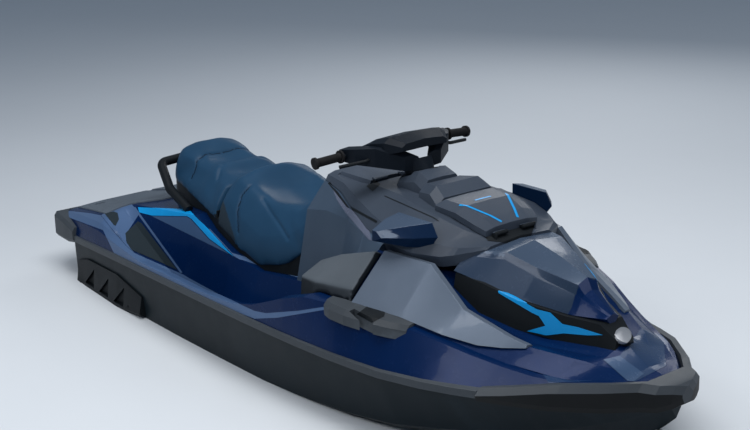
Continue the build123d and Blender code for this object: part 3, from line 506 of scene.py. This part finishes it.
inlay("pod_vents", pods, vents, black, flat=in_plan, lift=0.001)
grille = moulded("grille_moulding", ["grille"], "craft", [black], edge=0.003)
disc_u, disc_v, disc_radius, disc_sides = 623, 335.6, 8.4, 32


def circle(sides):
    """Points round a circle of radius 1."""
    return [(cos(k * 2 * pi / sides), sin(k * 2 * pi / sides)) for k in range(sides)]


disc = [(disc_u + disc_radius * x, disc_v + disc_radius * y) for x, y in circle(disc_sides)]
inlay("nose_disc", grille, [disc], cast, pair=False, near=lambda c: c.x > 1.4, lift=0.0015)
screw_sides, screw_radius, socket_share, socket_floor = 18, 0.006, 0.45, 0.001
screw_profile = [(1, 0.0), (0.95, 0.0012), (0.7, 0.0026), (socket_share, 0.003),
                 (socket_share, socket_floor)]


def tree_of(mesh):
    """A mesh's faces, for finding where a line meets them."""
    return BVHTree.FromPolygons([v.co for v in mesh.vertices], [p.vertices for p in mesh.polygons])


def screws(piece, base, spots, body, mat):
    """Button-head screws, each where a level line from either side meets a piece."""
    tree = tree_of(base.data)
    bm = bmesh.new()
    for x, z in spots:
        for side in (-1, 1):
            hit, normal = tree.ray_cast(Vector((x, side, z)), Vector((0, -side, 0)))[:2]
            turn = Matrix.Translation(hit) @ normal.to_track_quat("Z", "Y").to_matrix().to_4x4()
            rings = []
            for share, height in screw_profile:
                wide = screw_radius * share
                rings.append([bm.verts.new(turn @ Vector((wide * u, wide * v, height)))
                              for u, v in circle(screw_sides)])
            for low, high in zip(rings, rings[1:]):
                for k in range(screw_sides):
                    bm.faces.new((low[k - 1], low[k], high[k], high[k - 1]))
            bm.faces.new(rings[-1])
    obj = to_piece(bm, piece, body, [mat], smooth=40)


screw_spots = [(-1.40, 0.0), (-1.20, -0.01), (-0.88, 0.03)]
screws("sponson_screws", sponsons, screw_spots, "craft", black)

# Bow: navy foredeck, side mouldings painted grey-blue as a painted reflection of the sky on their navy, and a
# dark grey-blue hood with a raised dome, all sprayed gloss.
# The nose is paler than the trough beside the grille.
# The side mouldings' grey-blue is a painted reflection of the sky on dark navy gloss.
panel_sky_reflection = paint("panel_gloss", (0.088, 0.112, 0.150), rough=0.34, metal=0.2, coat=0.2, flake=0.08)
hood_slate = paint("hood_gloss", (0.018, 0.033, 0.062), flake=0.06)
# The paler dome colour is a painted sheen, laid on faces that look up.
upward_sheen = paint("upward_sheen_gloss", (0.045, 0.068, 0.108), flake=0.05)
nose_blue = paint("nose_gloss", (0.034, 0.064, 0.125), flake=0.06)
foredeck = moulded("foredeck_shell", ["foredeck"], "craft", [navy])
nose_crown = [(619.4, 355.9), (629.5, 344.2), (641.2, 328.2), (663.1, 338), (666, 366), (630.6, 384),
              (603.4, 359.9)]
nose_facet = [(603.4, 359.9), (619.4, 355.9), (644, 374), (630.6, 384)]
bow_flank = [(522.2, 346.5), (600.6, 360.4), (627.8, 379.5), (548.8, 383), (525, 349.2)]
crown_blue = paint("crown_gloss", (0.016, 0.036, 0.085), flake=0.06)
nose_start = 1.3
inlay("nose_crown", foredeck, [nose_crown], crown_blue, pair=False,
      near=lambda c: c.x > nose_start)
inlay("nose_facets", foredeck, [nose_facet], nose_blue, pair=False, near=lambda c: c.x > nose_start, lift=0.0016)
flank_blue = paint("flank_gloss", (0.012, 0.034, 0.090), flake=0.06)
inlay("bow_flanks", deck, [bow_flank], flank_blue)
moulded("side_panels_shell", ["side_panels"], "craft", [panel_sky_reflection])
dome_front, dome_start, dome_half, dome_taper = 1.292, 0.90, 0.20, 0.40


def hood_facets(place, normal):
    """Navy ahead of the dome, grey-blue beside it, and paler on the dome's up-facing crown as a painted sheen.
    """
    on_dome = abs(place.y) < dome_half - dome_taper * (place.x - dome_start) and normal.z > 0.5
    return 0 if place.x > dome_front else (2 if on_dome else 1)


moulded("hood_shell", ["hood"], "craft", [navy, hood_slate, upward_sheen], zone=hood_facets)

# Accent strips: a bright-blue moulding on each side that clips along the grille below the hood's lip.
# It forks at the front, and here it is cut from the grille's own surface and raised by 3 mm.
accent = [(498.3, 291), (510.4, 294.3), (537.1, 309.1), (550.5, 312.4), (562.6, 323.8), (578.7, 327.1),
          (603.4, 334.9), (588, 335.2), (563.9, 333.2), (546.5, 335.2), (527.1, 330.9), (545.4, 325.5),
          (539.1, 315.8), (531.8, 312.4), (499, 293)]
inlay("grille_accents", grille, [accent], bright_blue, lift=0.003)

# Tank cowl, console and lids: grained grey mouldings round the steering column, with a paler
# silver edge where the cowl meets the console.
dash = plastic("console_grey", (0.036, 0.047, 0.066), 0.42, coat=0.04, grain=0.0002, pitch=900, wear=0.3)
cowl_grey = plastic("cowl_grey", (0.036, 0.056, 0.086), 0.36, coat=0.06, grain=0.00015, pitch=900, wear=0.3)
cowl = moulded("tank_cowl_shell", ["tank_cowl"], "craft", [cowl_grey], sharp=20)
console = moulded("console_shell", ["console"], "craft", [dash])
screen = plastic("screen_black", (0.004, 0.005, 0.007), 0.12, specular=0.5, spread=0.3)
moulded("gauge_pod_shell", ["gauge_pod"], "craft", [dash, screen],
        zone=lambda place, normal: 1 if normal.x < -0.6 else 0)
lid = moulded("storage_lid_shell", ["storage_lid"], "lid", [dash, black],
              zone=lambda place, normal: 1 if place.x > 0.93 or normal.z < -0.5 else 0)
moulded("glovebox_lid_shell", ["glovebox_lid"], "glove_lid", [dash])
lid_stripe = strip([(0.775, -0.116), (0.915, -0.040)], 0.010)
lid_bar = strip([(0.776, -0.040), (0.776, 0.040)], 0.009)
inlay("lid_stripes", lid, [lid_stripe], bright_blue, body="lid", flat=in_plan)
inlay("lid_bar", lid, [lid_bar], bright_blue, body="lid", flat=in_plan, pair=False, near=anywhere)
cowl_edge = [(330.6, 183.4), (334.2, 184.3), (338.7, 196.9), (346.8, 206.8), (372, 223), (369.3, 230.2),
             (372, 241), (368.4, 239.2), (345.9, 213.1), (336.9, 199.6)]
silver = paint("silver_trim", (0.12, 0.135, 0.19), metal=0.3)
inlay("cowl_edges", cowl, [cowl_edge], silver)
console_seam = strip([(329, 182.5), (338.5, 194.5), (347.5, 206), (377, 222)], 2.4)
console_line = strip([(384.6, 196), (433.2, 217.6), (438.6, 221.2)], 0.9)
latch = [(366.6, 186.5), (374, 178.9), (380.6, 184.3), (372.8, 191.5)]
console_marks = [console_seam, console_line, latch]
inlay("console_seams", console, console_marks, black, lift=0.0012)
inlay("cowl_seams", cowl, [console_seam], black, lift=0.0012)
# A black sheet on the console under the lid's front lip: painted shade of the dark opening there.
scoop_shadow = [(484, 236), (536, 221), (531, 236), (517, 244), (488, 241)]
inlay("lid_scoop_shadow", console, [scoop_shadow], black, near=lambda c: c.x > 0.9, pair=False,
      lift=0.0015)

# Mirrors: a sprayed navy pod on each side of the console, with a painted sheen on its up-facing top, moulded in
# one with its arm.
# A flat silvered glass is set into the side that faces aft.
mirror_navy = paint("mirror_navy", (0.002, 0.012, 0.038), rough=0.42, coat=0.02, flake=0.1, specular=0.07)
moulded("mirror_pods", ["mirrors"], "craft", [mirror_navy, upward_sheen], edge=0.008, segments=3,
        zone=lambda place, normal: 1 if normal.z > 0.45 else 0)
silvered = metal("mirror", (0.75, 0.78, 0.80), 0.06)
moulded("mirror_glasses", ["mirror_glass"], "craft", [silvered], edge=0.001)

# Steering: a fixed neck carries the turning head, which has two arms under a moulded pad.
# Ribbed rubber grips are pushed on to the arms' ends, with a black lever ahead of each.
bar_grey = plastic("bar_grey", (0.006, 0.009, 0.014), 0.44, grain=0.0002, pitch=900, wear=0.4,
                   specular=0.08)
neck = moulded("neck_shell", ["neck"], "craft", [dash])
neck_seam = strip([(398.1, 179.8), (406.2, 173.5), (422.4, 169), (437.7, 167.2)], 1.0)
inlay("neck_seam", neck, [neck_seam], black, near=anywhere, pair=False)
moulded("handlebar_shell", ["handlebar"], "steering", [bar_grey])
moulded("bar_pad_shell", ["bar_pad"], "steering", [bar_grey], edge=0.008, segments=3)
rubber = plastic("grip_rubber", (0.010, 0.010, 0.011), 0.72, grain=0.0008, pitch=420)
rib_pitch, rib_depth, rib_ends, rib_slack = 0.0045, 0.0016, (0.14, 0.88), 0.02


def middle(g):
    """The centre of a vertex, an edge or a face."""
    corners = [g] if isinstance(g, bmesh.types.BMVert) else g.verts
    return sum((v.co for v in corners), Vector()) / len(corners)


bm = solid_of(["grips"])
for side in (-1, 1):
    ring = [v.co for v in bm.verts if v.co.y * side > 0]
    centre = sum(ring, Vector()) / len(ring)
    spread = np.array([c - centre for c in ring])
    axis = Vector(np.linalg.svd(spread, full_matrices=False)[2][0])
    axis = axis if axis.y * side > 0 else -axis
    reach = [(c - centre).dot(axis) for c in ring]
    first, length = min(reach), max(reach) - min(reach)
    cuts = np.arange(first + length * rib_ends[0], first + length * rib_ends[1], rib_pitch / 2)
    for place in cuts:
        geom = [g for g in bm.verts[:] + bm.edges[:] + bm.faces[:] if middle(g).y * side > 0]
        bmesh.ops.bisect_plane(bm, geom=geom, dist=1e-6, plane_co=centre + axis * place, plane_no=axis)
    for v in bm.verts:
        step = ((v.co - centre).dot(axis) - cuts[0]) / (rib_pitch / 2)
        on_cut = 0 <= step <= len(cuts) and abs(step - round(step)) < rib_slack
        if v.co.y * side > 0 and on_cut and round(step) % 2:
            out = v.co - centre - axis * (v.co - centre).dot(axis)
            v.co -= out.normalized() * rib_depth
grips = to_piece(bm, "grips_rubber", "steering", [rubber], smooth=60)
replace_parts(grips, "grips")
moulded("levers_black", ["levers"], "steering", [black], edge=0.001)

# Seats: marine vinyl sewn over foam. Each starts a little small and is blown up as cloth, held
# along its foot; then the foam firms it and the sewn seams are pulled in, as in the photograph.
vinyl = plastic("seat_vinyl", (0.012, 0.044, 0.090), 0.42, grain=0.0004, pitch=330, spread=0.22)
# The darker vinyl is painted shade on the front seat's side, where shade falls under its edge.
vinyl_shaded = plastic("seat_vinyl_shaded", (0.018, 0.030, 0.042), 0.60, grain=0.0007, pitch=240)
thread = plastic("seam_thread", (0.002, 0.009, 0.022), 0.7, grain=0.0004, pitch=900)
seat_voxel, seat_skin, swell_cap, foot_height = 0.010, 0.008, 0.024, 0.035
ease_rounds, firm_rounds = 24, 30
air_pressure, vinyl_stiffness, cloth_ticks = 4.0, 8.0, 20
foot_line = [(-1.126, 0.502), (-1.010, 0.500), (-0.900, 0.478), (-0.760, 0.456), (-0.632, 0.436),
             (-0.560, 0.402), (-0.436, 0.354), (-0.304, 0.308), (-0.136, 0.346), (-0.030, 0.420)]
skirt_drop, skirt_high = 0.030, 0.11
seam_width, seam_depth, seam_steps, thread_reach = 0.009, 0.005, 6, 0.0022


def coords(mesh):
    flat = np.empty(len(mesh.vertices) * 3)
    mesh.vertices.foreach_get("co", flat)
    return flat.reshape(-1, 3)


def normals(mesh):
    flat = np.empty(len(mesh.vertices) * 3)
    mesh.vertex_normals.foreach_get("vector", flat)
    return flat.reshape(-1, 3)


def place_all(mesh, points):
    mesh.vertices.foreach_set("co", points.ravel())
    mesh.update()


def sewn_paths(mesh, lines):
    """Photograph lines carried on to a cushion's starboard half, with their mirror images."""
    tree = tree_of(mesh)
    paths = []
    for line in lines:
        path = []
        for (u0, v0), (u1, v1) in zip(line, line[1:]):
            for k in range(seam_steps):
                way = photo_ray(u0 + (u1 - u0) * k / seam_steps, v0 + (v1 - v0) * k / seam_steps)
                hit = tree.ray_cast(eye, way.normalized())[0]
                if hit and hit.y < 0.005:
                    path.append(np.array(hit))
        if len(path) > 1:
            paths += [path, [p * (1, -1, 1) for p in path]]
    return paths


def reach_from(points, paths):
    """How far each point lies from the nearest of some paths."""
    best = np.full(len(points), 9.0)
    for path in paths:
        for a, b in zip(path, path[1:]):
            run = b - a
            share = np.clip(((points - a) @ run) / max(run @ run, 1e-12), 0, 1)
            best = np.minimum(best, np.linalg.norm(points - a - share[:, None] * run, axis=1))
    return best


def cushion(piece, node, forms, seams, creases, shaded_sides):
    """A stuffed cover: an even skin swollen as cloth, with seams, creases and a darker vinyl laid on as painted
    shade within given outlines.
    """
    obj = softened(piece, [node], "craft", [vinyl, vinyl_shaded, thread], seat_voxel, ease_rounds)
    mesh = obj.data
    place_all(mesh, coords(mesh) - normals(mesh) * seat_skin)
    start_at = coords(mesh)
    low = start_at[:, 2] < start_at[:, 2].min() + foot_height
    held = np.where(low | (normals(mesh)[:, 2] < -0.5))[0]
    foot = obj.vertex_groups.new(name="foot")
    foot.add(held.tolist(), 1.0, "REPLACE")
    cloth = obj.modifiers.new("swell", "CLOTH")
    cloth.settings.use_pressure = True
    cloth.settings.bending_stiffness = vinyl_stiffness
    cloth.settings.uniform_pressure_force = air_pressure
    cloth.settings.effector_weights.gravity = 0.0
    cloth.settings.vertex_group_mass = "foot"
    for tick in range(1, cloth_ticks + 1):
        scene.frame_set(tick)
    settled(obj)
    mesh = obj.data
    moved = coords(mesh) - start_at
    far = np.linalg.norm(moved, axis=1, keepdims=True)
    place_all(mesh, start_at + moved * np.minimum(1, swell_cap / np.maximum(far, 1e-9)))
    scene.frame_set(1)
    firm = obj.modifiers.new("firm", "SMOOTH")
    firm.factor, firm.iterations = 0.5, firm_rounds
    fine = obj.modifiers.new("fine", "SUBSURF")
    fine.levels = fine.render_levels = 1
    settled(obj)
    mesh = obj.data
    foam = coords(mesh)
    foot_at = np.interp(foam[:, 0], *zip(*foot_line))
    foam[:, 2] -= skirt_drop * np.clip((foot_at + skirt_high - foam[:, 2]) / skirt_high, 0, 1)
    upward = np.clip(normals(mesh)[:, 2] * 1.6, 0, 1)
    for x, y, long, wide, rise in forms:
        along, across = (foam[:, 0] - x) / long, (np.abs(foam[:, 1]) - y) / wide
        foam[:, 2] += rise * upward * np.exp(-along ** 2 - across ** 2)
    place_all(mesh, foam)
    sewn = reach_from(coords(mesh), sewn_paths(mesh, seams))
    pulled = np.minimum(sewn, reach_from(coords(mesh), sewn_paths(mesh, creases)))
    pull = seam_depth * np.exp(-(pulled / seam_width) ** 2)
    place_all(mesh, coords(mesh) - normals(mesh) * pull[:, None])
    for face in mesh.polygons:
        face.use_smooth = True
        side = Vector((face.center.x, -abs(face.center.y), face.center.z))
        look = Vector((face.normal.x, -abs(face.normal.y), face.normal.z))
        in_painted_shade = look.dot(eye - side) > 0 and any(inside(in_photo(side), shade_outline) for shade_outline in shaded_sides)
        face.material_index = 2 if sewn[face.vertices[0]] < thread_reach else (1 if in_painted_shade else 0)
    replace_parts(obj, node)


front_forms = [
    # bolsters and hollows: x, y, length, width, rise
    (-0.29, 0, 0.12, 0.15, -0.018), (-0.55, 0, 0.045, 0.19, 0.016), (-0.46, 0.19, 0.08, 0.035, 0.012)]
front_seams = [[(238, 232), (237.4, 211.6), (241.8, 195), (252, 183.6)]]
front_creases = [[(263, 199), (271, 213), (280, 226), (289, 241)]]
# Outline of the front seat's side that gets the painted shade.
front_shaded_sides = [[(205, 214), (221.4, 195), (226.5, 211.6), (235.5, 241), (221.4, 230.8)]]
rear_forms = [(-0.80, 0, 0.04, 0.17, 0.030), (-0.93, 0, 0.06, 0.14, -0.014), (-1.08, 0, 0.05, 0.14, 0.008),
              (-0.70, 0, 0.05, 0.13, -0.010)]
rear_seams = [[(191, 178), (194.6, 170.8), (197.2, 160.6), (206, 154.2), (229, 152.3)]]
rear_creases = [[(217.6, 179.7), (220.2, 170), (224, 163)]]
cushion("seat_front_cover", "seat_front", front_forms, front_seams, front_creases, front_shaded_sides)
cushion("seat_rear_cover", "seat_rear", rear_forms, rear_seams, rear_creases, [])

# Mats: grooved closed-cell foam glued to the swim platform and the footwell floors, the ribs
# running across the craft.
foam = plastic("mat_foam", (0.115, 0.140, 0.170), 0.85, grain=0.0006, pitch=300)
mat_pitch, mat_rise = 0.016, 0.0016
for node in ("platform_mats", "footwell_mats"):
    bm = solid_of([node])
    low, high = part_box(node)
    for place in np.arange(low[0], high[0], mat_pitch / 2):
        bmesh.ops.bisect_plane(bm, geom=bm.verts[:] + bm.edges[:] + bm.faces[:], dist=1e-6,
                               plane_co=(place, 0, 0), plane_no=(1, 0, 0))
    bm.normal_update()
    ribs = [f for f in bm.faces if f.normal.z > 0.7 and
            int((f.calc_center_median().x - low[0]) / (mat_pitch / 2)) % 2]
    raised = bmesh.ops.extrude_face_region(bm, geom=ribs)["geom"]
    bmesh.ops.delete(bm, geom=ribs, context="FACES_ONLY")
    tops = [v for v in raised if isinstance(v, bmesh.types.BMVert)]
    bmesh.ops.translate(bm, vec=(0, 0, mat_rise), verts=tops)
    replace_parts(to_piece(bm, node + "_foam", "craft", [foam]), node)
